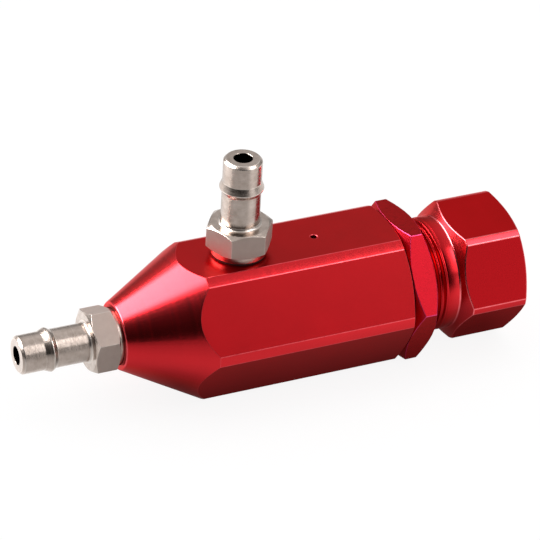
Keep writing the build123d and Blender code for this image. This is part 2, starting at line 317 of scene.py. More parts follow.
def trace(corners: Sequence[Corner], columns: Columns) -> Skin:
    """Carry a closed half section round the columns, with its corners rounded.

    Each corner is cut back along both sides by r / tan(half its angle), and the conic through those
    two points and the corner rounds it. A row just past each end of the arc keeps the sides flat.
    The masks are 1 at the middle of an arc, and blend from the old side's to the new side's over it.

    Args:
        corners: The section's corners in order, the last joined to the first.
        columns: The directions that it is carried through.

    Returns:
        The grid of rows by columns.
    """
    count = columns.turn.size
    sides = [[np.broadcast_to(side, count) for side in (c.along, c.out)] for c in corners]
    points = np.moveaxis(np.array(sides, float), 1, 2)
    back = np.roll(points, 1, axis=0) - points
    ahead = np.roll(points, -1, axis=0) - points
    back_length = np.linalg.norm(back, axis=2, keepdims=True)
    ahead_length = np.linalg.norm(ahead, axis=2, keepdims=True)
    back = back / np.maximum(back_length, TINY)
    ahead = ahead / np.maximum(ahead_length, TINY)
    shorter = np.minimum(back_length, ahead_length)
    cosine = np.clip((back * ahead).sum(axis=2, keepdims=True), -1, SHARPEST)
    weight = np.sqrt((1 - cosine) / 2)
    rounding = np.array([corner.rounding for corner in corners])[:, None, None]
    cut = np.minimum(rounding * np.sqrt((1 + cosine) / (1 - cosine)), CUT_SHARE * shorter)
    start = points + back * cut
    end = points + ahead * cut
    before = start + back * np.minimum(SUPPORT, SUPPORT_SHARE * back_length)
    after = end + ahead * np.minimum(SUPPORT, SUPPORT_SHARE * ahead_length)
    on_bar = (columns.edge, columns.turned)
    plain = (np.zeros(count), np.ones(count))
    rows: list[tuple[np.ndarray, np.ndarray, np.ndarray]] = []
    first_rows: list[int] = []
    for index, corner in enumerate(corners):
        old_edge, old_turned = on_bar if corners[index - 1].on_bar else plain
        new_edge, new_turned = on_bar if corner.on_bar else plain
        first_rows.append(len(rows))
        if corner.rounding == 0:
            rows.append((points[index], new_edge, new_turned))
            continue
        rows.append((before[index], old_edge, old_turned))
        for step in np.linspace(0, 1, ARC_POINTS):
            place = conic(start[index], points[index], end[index], weight[index], step)
            edge = np.maximum((1 - step) * old_edge + step * new_edge, sin(pi * step))
            rows.append((place, edge, (1 - step) * old_turned + step * new_turned))
        rows.append((after[index], new_edge, new_turned))
    grid, edges, turneds = (np.array([row[part] for row in rows]) for part in range(3))
    return Skin(grid[..., 0], grid[..., 1], edges, turneds, first_rows)


@dataclass
class Shape:
    """Points in metres, quads, and for each point its station (millimetres along plus out), and masks
    for rounded edges, for turned surfaces, and for a painted shade inside a narrow bore."""

    points: np.ndarray
    quads: np.ndarray
    station: np.ndarray
    edge: np.ndarray
    turned: np.ndarray
    # painted shade mask: 1 inside a narrow bore, where the colour goes near black
    deep: np.ndarray | None = None

    def add(
        self, points: np.ndarray, quads: np.ndarray, station: np.ndarray, edge: np.ndarray, turned: float
    ) -> None:
        """Add points and the quads that use them.

        Args:
            points: The new points, in metres.
            quads: The new quads, numbered as if the points were already there.
            station: The points' stations.
            edge: Their mask for rounded edges.
            turned: Their mask for turned surfaces.
        """
        self.points = np.concatenate([self.points, points])
        self.quads = np.concatenate([self.quads, quads])
        self.station = np.concatenate([self.station, station])
        self.edge = np.concatenate([self.edge, edge])
        self.turned = np.concatenate([self.turned, np.full(len(points), turned)])

    def outward(self) -> None:
        """Turn the faces over if they point inwards.

        Six times the volume is the sum over each quad's two triangles of a . (b x c).
        """
        a, b, c, d = (self.points[self.quads[:, side]] for side in range(4))
        volume = (a * np.cross(b, c)).sum() + (a * np.cross(c, d)).sum()
        if volume < 0:
            self.quads = self.quads[:, ::-1]

    def mesh(self, name: str) -> bpy.types.Object:
        """Weld the points, drop faces that closed up, and make a smooth-shaded object of the rest.

        Args:
            name: The name of the piece.

        Returns:
            The object, at the origin.
        """
        self.outward()
        keys = np.round(self.points / WELD).astype(np.int64)
        _, first, inverse = np.unique(keys, axis=0, return_index=True, return_inverse=True)
        quads = inverse.reshape(-1)[self.quads]
        repeats = quads == np.roll(quads, -1, axis=1)
        folded = (quads[:, 0] == quads[:, 2]) | (quads[:, 1] == quads[:, 3])
        lost = repeats.sum(axis=1)
        whole = quads[(lost == 0) & ~folded]
        three = quads[lost == 1][~repeats[lost == 1]].reshape(-1, 3)
        mesh = bpy.data.meshes.new(name)
        mesh.from_pydata(self.points[first].tolist(), [], whole.tolist() + three.tolist())
        layers = {"station": self.station, "edge": self.edge, "turned": self.turned}
        if self.deep is not None:
            layers["deep"] = self.deep
        for label, values in layers.items():
            layer = mesh.attributes.new(label, "FLOAT", "POINT")
            layer.data.foreach_set("value", values[first].astype(np.float32))
        mesh.shade_smooth()
        mesh.set_sharp_from_angle(angle=radians(CREASE))
        mesh.update()
        log.info("%s: %d faces", name, len(mesh.polygons))
        return put_in_scene(name, mesh)


def numbers(rows: int, count: int) -> np.ndarray:
    """The point numbers of a grid, counted along its rows.

    Args:
        rows: How many rows.
        count: How many points in a row.

    Returns:
        The numbers, rows by columns.
    """
    return np.arange(rows * count).reshape(rows, count)


def cover(skin: Skin, columns: Columns, seat: Seat, open_cells: np.ndarray | None = None) -> Shape:
    """Join the rows and columns of a skin with quads, the last row to the first.

    Args:
        skin: The grid of sections.
        columns: Its directions, with the closing one.
        seat: Where the piece stands.
        open_cells: True for each cell, rows by columns less one, that gets no face.

    Returns:
        The shape.
    """
    grid = numbers(*skin.along.shape)
    ahead = np.roll(grid, -1, axis=0)
    quads = np.stack([grid[:, :-1], grid[:, 1:], ahead[:, 1:], ahead[:, :-1]], axis=-1)
    if open_cells is not None:
        quads = quads[~open_cells]
    points = seat.place(skin.along, skin.out, columns.turn)
    masks = (part.ravel() for part in (skin.along + skin.out, skin.edge, skin.turned))
    return Shape(points.reshape(-1, 3), quads.reshape(-1, 4), *masks)


@dataclass(frozen=True)
class Block:
    """A rectangle of cells in a grid that a hole goes through: its low and high rows by distance along
    the axis, and its first and last columns."""

    low_row: int
    high_row: int
    first_column: int
    last_column: int

    def open_cells(self, cells: np.ndarray) -> None:
        """Mark the block's cells.

        Args:
            cells: A mask of the grid's cells, which is changed.
        """
        rows = sorted((self.low_row, self.high_row))
        cells[rows[0]:rows[1], self.first_column:self.last_column] = True

    def rim(self, grid: np.ndarray) -> np.ndarray:
        """The points round the block, once round, from its low row and first column.

        Args:
            grid: The grid's point numbers.

        Returns:
            The numbers of the points.
        """
        step = 1 if self.high_row > self.low_row else -1
        rows = np.arange(self.low_row, self.high_row, step)
        columns = np.arange(self.first_column, self.last_column)
        return np.concatenate([
            grid[self.low_row, columns],
            grid[rows, self.last_column],
            grid[self.high_row, columns[::-1] + 1],
            grid[rows[::-1] + step, self.first_column],
        ])


@dataclass(frozen=True)
class UprightHole:
    """A hole bored down from the top flat into a round bore: its place along the main axis, its radius,
    the bore's radius below it, and the rounding of its rim. The shares are where rings of points stand on
    the way from the block in the flat to the mouth, and from the wall's foot to the block in the bore."""

    along: float
    radius: float
    bore_radius: float
    rim_radius: float
    flat_shares: tuple[float, ...] = (0.35, 0.7, 1.0)
    bore_shares: tuple[float, ...] = (0.0, 0.5)

    def circle(self, radius: float, angle: np.ndarray) -> tuple[np.ndarray, np.ndarray]:
        """Points of a circle round the hole.

        Args:
            radius: Its radius, in millimetres.
            angle: Where the points are on it, in radians.

        Returns:
            Their places along the main axis and across it.
        """
        return self.along + radius * np.cos(angle), radius * np.sin(angle)

    def line(self, shape: Shape, seat: Seat, grid: np.ndarray, top: Block, inner: Block) -> None:
        """Skin the hole between the open block in the top flat and the open block in the bore.

        Rings of points run from the top block's rim in to the hole's mouth, round its rim, down its
        wall to where the bore's height is sqrt(bore radius squared minus the sideways distance
        squared), and out over the bore to the inner block's rim.

        Args:
            shape: The shape that has the two blocks open.
            seat: Where it stands.
            grid: The point numbers of its grid.
            top: The block that is open in the flat.
            inner: The block that is open in the bore.
        """
        foot = np.array(seat.foot)
        top_rim = top.rim(grid)
        inner_rim = inner.rim(grid)
        outer = shape.points[top_rim] / MM - foot
        lower = shape.points[inner_rim] / MM - foot
        top_angle = np.unwrap(np.arctan2(-outer[:, 1], outer[:, 0] - self.along))
        inner_angle = np.unwrap(np.arctan2(-lower[:, 1], lower[:, 0] - self.along))
        height = outer[0, 2]
        rings: list[tuple[np.ndarray, np.ndarray, np.ndarray, float]] = []
        mouth_x, mouth_y = self.circle(self.radius + self.rim_radius + SUPPORT, top_angle)
        for share in self.flat_shares:
            x = (1 - share) * outer[:, 0] + share * mouth_x
            y = (1 - share) * -outer[:, 1] + share * mouth_y
            rings.append((x, y, x * 0 + height, 0.0))
        for step in np.linspace(0, pi / 2, ARC_POINTS):
            x, y = self.circle(self.radius + self.rim_radius * (1 - sin(step)), top_angle)
            rings.append((x, y, x * 0 + height - self.rim_radius * (1 - cos(step)), 1.0))
        x, y = self.circle(self.radius, top_angle)
        rings.append((x, y, x * 0 + height - self.rim_radius - SUPPORT, 0.0))
        wall_x, wall_y = self.circle(self.radius, inner_angle)
        wall_slant = np.arcsin(wall_y / self.bore_radius)
        rim_slant = np.arcsin(np.clip(-lower[:, 1] / self.bore_radius, -1, 1))
        for share in self.bore_shares:
            slant = (1 - share) * wall_slant + share * rim_slant
            x = (1 - share) * wall_x + share * lower[:, 0]
            rings.append((x, self.bore_radius * np.sin(slant), self.bore_radius * np.cos(slant), 0.0))
        start = len(shape.points)
        count = len(top_rim)
        new = start + numbers(len(rings), count)
        loops = np.concatenate([top_rim[None], new, inner_rim[None]])
        ahead = np.roll(loops, -1, axis=1)
        quads = np.stack([loops[:-1], ahead[:-1], ahead[1:], loops[1:]], axis=-1).reshape(-1, 4)
        x, y, z = (np.array([ring[part] for ring in rings]) for part in range(3))
        edge = np.repeat([ring[3] for ring in rings], count)
        points = seat.place(x, np.hypot(y, z), pi / 2 + np.arctan2(y, z)).reshape(-1, 3)
        shape.add(points, quads, (x + z).ravel(), edge, 0.0)


# Node trees

class Blend(Enum):
    """What a mix node blends."""

    COLOUR = "RGBA"
    NUMBER = "FLOAT"


class Operation(Enum):
    """What a math node does with its two numbers."""

    ADD = "ADD"
    MULTIPLY = "MULTIPLY"


class NoiseSpace(Enum):
    """What a noise texture runs through."""

    LINE = "1D"
    SPACE = "3D"


class Wiring:
    """The nodes and links of one node tree."""

    def __init__(self, tree: bpy.types.NodeTree) -> None:
        """Work on a tree.

        Args:
            tree: The node tree.
        """
        self.nodes = tree.nodes
        self.links = tree.links

    def feed(self, node: bpy.types.Node, inputs: dict[str | int, Source]) -> bpy.types.Node:
        """Link outputs to a node's sockets, or set the sockets' own values.

        Args:
            node: The node that is fed.
            inputs: An output, a number, a vector or a colour for each socket, by its name or number.

        Returns:
            The same node.
        """
        for label, value in inputs.items():
            socket = node.inputs[label]
            if isinstance(value, bpy.types.NodeSocket):
                self.links.new(value, socket)
            elif socket.type == "RGBA":
                socket.default_value = (*value, 1.0)
            else:
                socket.default_value = value
        return node

    def put(self, kind: str, inputs: dict[str | int, Source]) -> bpy.types.Node:
        """Put in a node.

        Args:
            kind: Its type, without the words ShaderNode.
            inputs: What feeds its sockets.

        Returns:
            The node.
        """
        return self.feed(self.nodes.new(f"ShaderNode{kind}"), inputs)

    def attribute(self, label: str) -> bpy.types.NodeSocket:
        """Read a number that the mesh keeps for each point.

        Args:
            label: The attribute's name.

        Returns:
            The number.
        """
        node = self.put("Attribute", {})
        node.attribute_name = label
        return node.outputs["Fac"]

    def math(self, operation: Operation, first: Source, second: Source) -> bpy.types.NodeSocket:
        """Work out a number from two others.

        Args:
            operation: What is done.
            first: The first number.
            second: The second number.

        Returns:
            The result.
        """
        node = self.put("Math", {0: first, 1: second})
        node.operation = operation.value
        return node.outputs[0]

    def noise(self, space: NoiseSpace, inputs: dict[str | int, Source]) -> bpy.types.NodeSocket:
        """Put in a noise texture.

        Args:
            space: What it runs through.
            inputs: What feeds its sockets.

        Returns:
            The noise, from 0 to 1.
        """
        node = self.put("TexNoise", {})
        node.noise_dimensions = space.value
        return self.feed(node, inputs).outputs["Fac"]

    def mix(
        self, share: Source, low: Source, high: Source, kind: Blend = Blend.COLOUR
    ) -> bpy.types.NodeSocket:
        """Blend two colours or two numbers: (1 - share) times the low one plus share times the high one.

        Args:
            share: How much of the high one, from 0 to 1.
            low: What it is at a share of 0.
            high: What it is at a share of 1.
            kind: What is blended.

        Returns:
            The blend.
        """
        node = self.put("Mix", {})
        node.data_type = kind.value
        in_use = [number for number, socket in enumerate(node.inputs) if socket.enabled]
        self.feed(node, dict(zip(in_use, (share, low, high))))
        return next(socket for socket in node.outputs if socket.enabled)

    def mix_where_unlike(self, share: Source, low: float, high: float) -> Source:
        """Blend two numbers, or keep a plain one where they are the same.

        Args:
            share: How much of the high one, from 0 to 1.
            low: What it is at a share of 0.
            high: What it is at a share of 1.

        Returns:
            The blend, or the number.
        """
        return low if low == high else self.mix(share, low, high, Blend.NUMBER)

    def bump(self, height: Source, depth: float, under: Source | None = None) -> bpy.types.NodeSocket:
        """Raise the surface.

        Args:
            height: The height, from 0 to 1.
            depth: How far a height of 1 stands up, in millimetres.
            under: The normal of the relief that this one lies on, if there is one.

        Returns:
            The normal.
        """
        node = self.put("Bump", {"Height": height, "Distance": depth * MM})
        if under is not None:
            self.feed(node, {"Normal": under})
        return node.outputs["Normal"]

    def group(self, tree: bpy.types.NodeTree, **inputs: Source) -> bpy.types.bpy_prop_collection:
        """Put in a node group.

        Args:
            tree: The group.
            inputs: What feeds its sockets, by name.

        Returns:
            Its outputs.
        """
        node = self.nodes.new("ShaderNodeGroup")
        node.node_tree = tree
        return self.feed(node, inputs).outputs


class GroupWiring(Wiring):
    """A shader node group with number outputs, while its nodes are put in."""

    def __init__(self, name: str, inputs: dict[str, float | None], outputs: Sequence[str]) -> None:
        """Start the group.

        Args:
            name: The group's name.
            inputs: Its number inputs with their defaults, or None for a vector input.
            outputs: The names of its outputs.
        """
        self.tree = bpy.data.node_groups.new(name, "ShaderNodeTree")
        super().__init__(self.tree)
        for label, default in inputs.items():
            kind = "NodeSocketVector" if default is None else "NodeSocketFloat"
            socket = self.tree.interface.new_socket(label, in_out="INPUT", socket_type=kind)
            if default is not None:
                socket.default_value = default
        for label in outputs:
            self.tree.interface.new_socket(label, in_out="OUTPUT", socket_type="NodeSocketFloat")
        self.inputs = self.nodes.new("NodeGroupInput").outputs
        self.results = self.nodes.new("NodeGroupOutput")


def new_material(name: str) -> tuple[bpy.types.Material, Wiring, bpy.types.Node]:
    """Start a material.

    Args:
        name: Its name.

    Returns:
        The material, its wiring, and its Principled BSDF.
    """
    material = bpy.data.materials.new(name)
    material.use_nodes = True
    wiring = Wiring(material.node_tree)
    return material, wiring, wiring.nodes["Principled BSDF"]


# Finishes

class Effects:
    """Shader node groups that every finish uses, each built once."""

    def __init__(self) -> None:
        """Build the groups."""
        self.turning = self.turning_marks()
        self.grain = self.fine_grain()
        self.wear_and_sheen = self.edge_wear_and_sheen()

    @staticmethod
    def turning_marks() -> bpy.types.NodeTree:
        """Fine rings that a lathe leaves: noise along the station alone, which is the same all round.

        Returns:
            The group, with fine noise for height and coarse noise for tone.
        """
        group = GroupWiring("turning_marks", {"Station": 0.0, "Lines": 20.0}, ("Height", "Tone"))
        place = group.math(Operation.MULTIPLY, group.inputs["Station"], group.inputs["Lines"])
        for label, scale, detail in (("Height", 0.25, 3.0), ("Tone", 0.2, 4.0)):
            rings = group.noise(NoiseSpace.LINE, {"W": place, "Scale": scale, "Detail": detail})
            group.feed(group.results, {label: rings})
        return group.tree

    @staticmethod
    def fine_grain() -> bpy.types.NodeTree:
        """The matt grain of an etched or plated surface: noise in space at two scales.

        Returns:
            The group, with fine noise for height and wide noise for tone.
        """
        sizes = {"Vector": None, "Grains": 9000.0, "Clouds": 160.0}
        group = GroupWiring("fine_grain", sizes, ("Height", "Tone"))
        place = group.inputs["Vector"]
        for label, size, detail in (("Height", "Grains", 3.0), ("Tone", "Clouds", 4.0)):
            inputs = {"Vector": place, "Scale": group.inputs[size], "Detail": detail}
            group.feed(group.results, {label: group.noise(NoiseSpace.SPACE, inputs)})
        return group.tree

    @staticmethod
    def edge_wear_and_sheen() -> bpy.types.NodeTree:
        """Where a rounded edge is rubbed and carries a painted highlight: the edge mask times a share that
        noise moves from 0.55 to 1.

        Returns:
            The group, with the mask of what is rubbed and painted with a highlight.
        """
        sizes = {"Edge": 0.0, "Vector": None, "Patches": 900.0}
        group = GroupWiring("edge_wear_and_sheen", sizes, ("Mask",))
        place, scale = group.inputs["Vector"], group.inputs["Patches"]
        patches = group.noise(NoiseSpace.SPACE, {"Vector": place, "Scale": scale, "Detail": 2.0})
        limits = {"Value": patches, "From Min": 0.3, "From Max": 0.7, "To Min": 0.55}
        rubbed_and_sheen = group.put("MapRange", limits).outputs["Result"]
        group.feed(group.results, {"Mask": group.math(Operation.MULTIPLY, group.inputs["Edge"], rubbed_and_sheen)})
        return group.tree


@dataclass(frozen=True)
class Look:
    """How one kind of surface looks: the colour and the shade that it varies between, its roughness, how
    metallic it is, and the weight of the clear layer on it."""

    colour: Colour
    shade: Colour
    roughness: float
    metallic: float = 1.0
    coat: float = 0.0


@dataclass(frozen=True)
class Finish:
    """A finish of the object: the look of its drawn or milled flats, that of what a lathe cut where it
    differs, the colour of its rubbed edges, which is wear and a painted highlight, and the sizes of its
    marks. Grains and clouds are scales of noise to the metre and lines to the millimetre, and depths are in
    millimetres."""

    name: str
    slot: Slot
    flat: Look
    # rubbed edges, lighter than the flats: wear and a painted highlight
    edge_wear_and_sheen_colour: Colour
    roughness_spread: float
    grain_depth: float
    turned: Look | None = None
    grazing_tint: Colour = WHITE
    coat_roughness: float = 0.12
    lines: float = 14.0
    line_depth: float = 0.002
    grains: float = 9000.0
    clouds: float = 160.0
    # near-black painted shade for the inside of a bore
    painted_bore_shade_colour: Colour = (0.02, 0.015, 0.012)

    def material(self, effects: Effects) -> bpy.types.Material:
        """Build the material.

        Colour mixes from shade to colour by the grain's tone, from the flat look to the turned one by
        the turned mask, to the edge colour, which is wear and a painted highlight, by the rubbed mask,
        and to a near-black painted shade inside a bore by the bore shade mask. Roughness is its middle
        value plus or minus the spread, by the grain's tone on flats and the rings' tone on turned surfaces.
        Height is grain everywhere, and rings where it is turned.

        Args:
            effects: The shared node groups.

        Returns:
            The material.
        """
        material, wiring, shader = new_material(self.name)
        flat = self.flat
        lathe = self.turned or self.flat
        spread = self.roughness_spread
        place = wiring.put("TexCoord", {}).outputs["Object"]
        turned = wiring.attribute("turned")
        edge = wiring.attribute("edge")
        rings = wiring.group(effects.turning, Station=wiring.attribute("station"), Lines=self.lines)
        grain = wiring.group(effects.grain, Vector=place, Grains=self.grains, Clouds=self.clouds)
        rubbed_and_sheen = wiring.group(effects.wear_and_sheen, Edge=edge, Vector=place)["Mask"]
        flat_colour, lathe_colour = (
            wiring.mix(grain["Tone"], look.shade, look.colour) for look in (flat, lathe)
        )
        # rubbed edges turn to the edge colour: wear and a painted highlight
        worn_and_sheen = wiring.mix(rubbed_and_sheen, wiring.mix(turned, flat_colour, lathe_colour), self.edge_wear_and_sheen_colour)
        rough, ringed = (
            wiring.mix(tone, look.roughness - spread, look.roughness + spread, Blend.NUMBER)
            for tone, look in ((grain["Tone"], flat), (rings["Tone"], lathe))
        )
        grained = wiring.bump(grain["Height"], self.grain_depth)
        cut = wiring.math(Operation.MULTIPLY, rings["Height"], turned)
        wiring.feed(shader, {
            # the inside of a bore goes near black: painted shade
            "Base Color": wiring.mix(wiring.attribute("deep"), worn_and_sheen, self.painted_bore_shade_colour),
            "Metallic": wiring.mix_where_unlike(turned, flat.metallic, lathe.metallic),
            "Roughness": wiring.mix(turned, rough, ringed, Blend.NUMBER),
            "Specular Tint": self.grazing_tint,
            "Coat Weight": wiring.mix_where_unlike(turned, flat.coat, lathe.coat),
            "Coat Roughness": self.coat_roughness,
            "Normal": wiring.bump(cut, self.line_depth, grained),
        })
        return material


RED = Finish(
    "red_anodised",
    Slot.RED,
    flat=Look(colour=(0.44, 0.0030, 0.007), shade=(0.36, 0.0024, 0.0055), roughness=0.34, coat=0.22),
    turned=Look(colour=(0.62, 0.006, 0.013), shade=(0.54, 0.005, 0.011), roughness=0.21, coat=0.38),
    edge_wear_and_sheen_colour=(0.82, 0.10, 0.12),
    roughness_spread=0.07,
    grazing_tint=(0.80, 0.12, 0.13),
    coat_roughness=0.24,
    lines=5.0,
    line_depth=0.005,
    grain_depth=0.0015,
)
KNOB_RED = replace(
    RED,
    name="red_anodised_knob",
    flat=replace(RED.flat, roughness=0.28, coat=0.12),
    # the knob's edges paler still: wear and a painted highlight
    edge_wear_and_sheen_colour=(0.86, 0.17, 0.19),
    line_depth=0.001,
)
ETCHED_RED = replace(
    RED,
    name="red_anodised_etched",
    flat=Look(colour=(0.50, 0.0024, 0.013), shade=(0.31, 0.0016, 0.008), roughness=0.29, coat=0.18),
    turned=Look(colour=(0.42, 0.0022, 0.012), shade=(0.30, 0.0018, 0.009), roughness=0.34, coat=0.20),
    edge_wear_and_sheen_colour=(0.80, 0.07, 0.24),
    roughness_spread=0.08,
    grazing_tint=(0.80, 0.10, 0.16),
    coat_roughness=0.30,
    line_depth=0.002,
    grains=3500.0,
    grain_depth=0.008,
    clouds=1500.0,
)
NICKEL = Finish(
    "nickel_plate",
    Slot.NICKEL,
    flat=Look(colour=(0.47, 0.375, 0.330), shade=(0.36, 0.282, 0.244), roughness=0.52, metallic=0.35),
    turned=Look(colour=(0.60, 0.51, 0.46), shade=(0.29, 0.23, 0.19), roughness=0.24),
    edge_wear_and_sheen_colour=(0.64, 0.57, 0.52),
    roughness_spread=0.12,
    lines=9.0,
    line_depth=0.004,
    grains=3000.0,
    grain_depth=0.012,
    clouds=900.0,
)
RUBBER = Finish(
    "seal_rubber",
    Slot.RUBBER,
    flat=Look(colour=(0.022, 0.021, 0.020), shade=(0.012, 0.012, 0.012), roughness=0.62, metallic=0.0),
    edge_wear_and_sheen_colour=(0.05, 0.05, 0.05),
    roughness_spread=0.08,
    grains=7000.0,
    grain_depth=0.01,
)
BALL_STEEL = Finish(
    "ball_steel",
    Slot.BALL,
    flat=Look(colour=(0.68, 0.68, 0.69), shade=(0.60, 0.60, 0.61), roughness=0.10),
    edge_wear_and_sheen_colour=(0.8, 0.8, 0.8),
    roughness_spread=0.03,
    grains=4000.0,
    grain_depth=0.001,
)
SPRING_STEEL = Finish(
    "spring_steel",
    Slot.SPRING,
    flat=Look(colour=(0.50, 0.50, 0.51), shade=(0.40, 0.40, 0.41), roughness=0.30),
    edge_wear_and_sheen_colour=(0.7, 0.7, 0.7),
    roughness_spread=0.06,
    grains=8000.0,
    grain_depth=0.003,
)


class Finishes:
    """The materials of this object's finishes, with their shared effects."""

    def __init__(self) -> None:
        """Build a material for each finish."""
        effects = Effects()
        finishes = (RED, KNOB_RED, ETCHED_RED, NICKEL, RUBBER, BALL_STEEL, SPRING_STEEL)
        self.materials = {finish: finish.material(effects) for finish in finishes}

    def dress(self, piece: bpy.types.Object, finish: Finish) -> None:
        """Give a piece its material, in place of any that it has.

        Args:
            piece: The piece.
            finish: Its finish, which also names the record's slot.
        """
        piece.data.materials.clear()
        piece.data.materials.append(self.materials[finish])


# Pieces

AXIS_HEIGHT = 11.0
SEAL_THICKNESS = 0.3
MAIN = Seat(foot=(0.0, 0.0, AXIS_HEIGHT), axis=(1.0, 0.0, 0.0), side=(0.0, 1.0, 0.0))


@dataclass(frozen=True)
class Housing:
    """The body: a hexagonal bar with a coned nose, bored from the knob's end, and pierced from above.

    The openings round its two upright holes are blocks of cells. On the top flat a block is half_port
    or half_bleed to each side of its hole, where the bar has a column, and in the bore below it runs to
    the inner sizes. The outlet's turns inner_port_turn to each side of straight up there.
    """

    across_flats: float = 22.0
    turned_diameter: float = 24.45
    corner_turn: float = 0.0
    shoulder_x: float = -7.66
    cone_length: float = 12.46
    cone_half_angle: float = 29.2
    nose_rounding: float = 0.6
    end_x: float = 25.6
    end_chamfer_length: float = 0.67
    end_chamfer_angle: float = 22.0
    recess_radius: float = 4.5
    recess_depth: float = 0.8
    tapped_radius: float = 3.0
    tapped_depth: float = 6.3
    passage_radius: float = 2.2
    seat_x: float = -9.0
    chamber_radius: float = 5.0
    chamber_end_x: float = 8.0
    main_bore_radius: float = 8.4
    drill_half_angle: float = 59.0
    thread_bore_x: float = 13.3
    thread_bore_radius: float = 9.06
    mouth_chamfer: float = 0.5
    bleed_x: float = 12.66
    bleed_radius: float = 0.55
    edge_rounding: float = 0.12
    face_rounding: float = 0.08
    bore_rounding: float = 0.05
    rim_rounding: float = 0.1
    half_port: float = 4.2
    half_bleed: float = 1.05
    flat_places: tuple[float, ...] = (0.0, 0.35, 0.7, 1.05, 2.1, 3.15, 4.2)
    inner_half_port: float = 3.9
    inner_half_bleed: float = 0.75
    inner_port_turn: float = 45.0
    hole_rows: int = 6

    @property
    def nose_x(self) -> float:
        """Where the nose's face is."""
        return self.shoulder_x - self.cone_length

    def runs(self, reach: np.ndarray, port_rows: int) -> dict[str, list[Corner]]:
        """The half section as runs of corners, out over the bar from the nose and back through the bore.

        The cone meets a column at the nose plus (reach - nose radius) / slope, and the end's chamfer
        meets it at the end less (reach - face radius) times its slope, which cut the flats in curves.
        The runs that holes go through have evenly spaced corners.

        Args:
            reach: How far the bar reaches in each column.
            port_rows: How many rows of cells the outlet's hole takes up in the top flat.

        Returns:
            The runs in order, by name.
        """
        slope = tan(radians(self.cone_half_angle))
        end_slope = tan(radians(self.end_chamfer_angle))
        nose_radius = self.turned_diameter / 2 - self.cone_length * slope
        face_radius = self.turned_diameter / 2 - self.end_chamfer_length / end_slope
        drill_length = (self.main_bore_radius - self.chamber_radius) / tan(radians(self.drill_half_angle))
        recess_x = self.nose_x + self.recess_depth
        tap_end_x = recess_x + self.tapped_depth
        port_x = np.linspace(-self.half_port, self.half_port, port_rows + 1)
        count = self.hole_rows + 1
        bleed_x = np.linspace(self.bleed_x - self.half_bleed, self.bleed_x + self.half_bleed, count)
        inner_bleed_x = np.linspace(self.thread_bore_x, self.bleed_x - self.inner_half_bleed, count)
        inner_port_x = np.linspace(self.inner_half_port, -self.inner_half_port, count)
        return {
            "nose": [
                Corner(self.nose_x, self.recess_radius, self.face_rounding),
                Corner(self.nose_x, nose_radius, self.nose_rounding),
                Corner(self.nose_x + (reach - nose_radius) / slope, reach, self.edge_rounding, on_bar=True),
            ],
            "port": [Corner(x, reach, on_bar=True) for x in port_x],
            "bleed": [Corner(x, reach, on_bar=True) for x in bleed_x],
            "mouth": [
                Corner(self.end_x - (reach - face_radius) * end_slope, reach, self.edge_rounding),
                Corner(self.end_x, face_radius, self.face_rounding),
                Corner(self.end_x, self.thread_bore_radius + self.mouth_chamfer, self.bore_rounding),
                Corner(self.end_x - self.mouth_chamfer, self.thread_bore_radius, self.bore_rounding),
                Corner(self.thread_bore_x, self.thread_bore_radius),
            ],
            "inner_bleed": [Corner(x, self.main_bore_radius) for x in inner_bleed_x],
            "drill_point": [
                Corner(self.chamber_end_x + drill_length, self.main_bore_radius),
                Corner(self.chamber_end_x, self.chamber_radius),
            ],
            "inner_port": [Corner(x, self.chamber_radius) for x in inner_port_x],
            "seat_and_tap": [
                Corner(self.seat_x + self.chamber_radius - self.passage_radius, self.chamber_radius),
                Corner(self.seat_x, self.passage_radius),
                Corner(tap_end_x, self.passage_radius),
                Corner(tap_end_x, self.tapped_radius),
                Corner(recess_x, self.tapped_radius),
                Corner(recess_x, self.recess_radius),
            ],
        }

    def build(self, finishes: Finishes) -> bpy.types.Object:
        """Build the body's mesh and dress it.

        A block in the flat and the one below it in the bore have rims of as many points, so the
        outlet's block, which is narrower in the flat than in the bore, has that many more rows.

        Args:
            finishes: The materials.

        Returns:
            The piece, riding on the housing.
        """
        bar = HexBar(self.across_flats, self.corner_turn, self.turned_diameter, flat_places=self.flat_places)
        turn = bar.columns().turn
        columns = bar.columns().closed()
        middle = int(np.argmin(np.abs(turn - pi / 2)))
        wide = int(np.argmin(np.abs(turn - pi / 2 - radians(self.inner_port_turn)))) - middle
        port_half = self.flat_places.index(self.half_port)
        bleed_half = self.flat_places.index(self.half_bleed)
        runs = self.runs(columns.reach, 2 * (wide - port_half) + self.hole_rows)
        skin = trace([corner for run in runs.values() for corner in run], columns)
        cells = np.zeros((len(skin.along), columns.turn.size - 1), bool)
        blocks: dict[str, Block] = {}
        first = 0
        halves = {"port": port_half, "inner_port": wide, "bleed": bleed_half, "inner_bleed": bleed_half}
        for name, run in runs.items():
            if name in halves:
                rows = sorted((skin.first_rows[first], skin.first_rows[first + len(run) - 1]))
                low, high = rows[::-1] if name.startswith("inner") else rows
                blocks[name] = Block(low, high, middle - halves[name], middle + halves[name])
                blocks[name].open_cells(cells)
            first += len(run)
        shape = cover(skin, columns, MAIN, cells)
        grid = numbers(*skin.along.shape)
        port = UprightHole(0.0, self.tapped_radius, self.chamber_radius, self.rim_rounding)
        bleed = UprightHole(self.bleed_x, self.bleed_radius, self.main_bore_radius, self.rim_rounding)
        port.line(shape, MAIN, grid, blocks["port"], blocks["inner_port"])
        bleed.line(shape, MAIN, grid, blocks["bleed"], blocks["inner_bleed"])
        piece = shape.mesh("housing_body")
        finishes.dress(piece, RED)
        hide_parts("body")
        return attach(piece, Body.HOUSING.value)


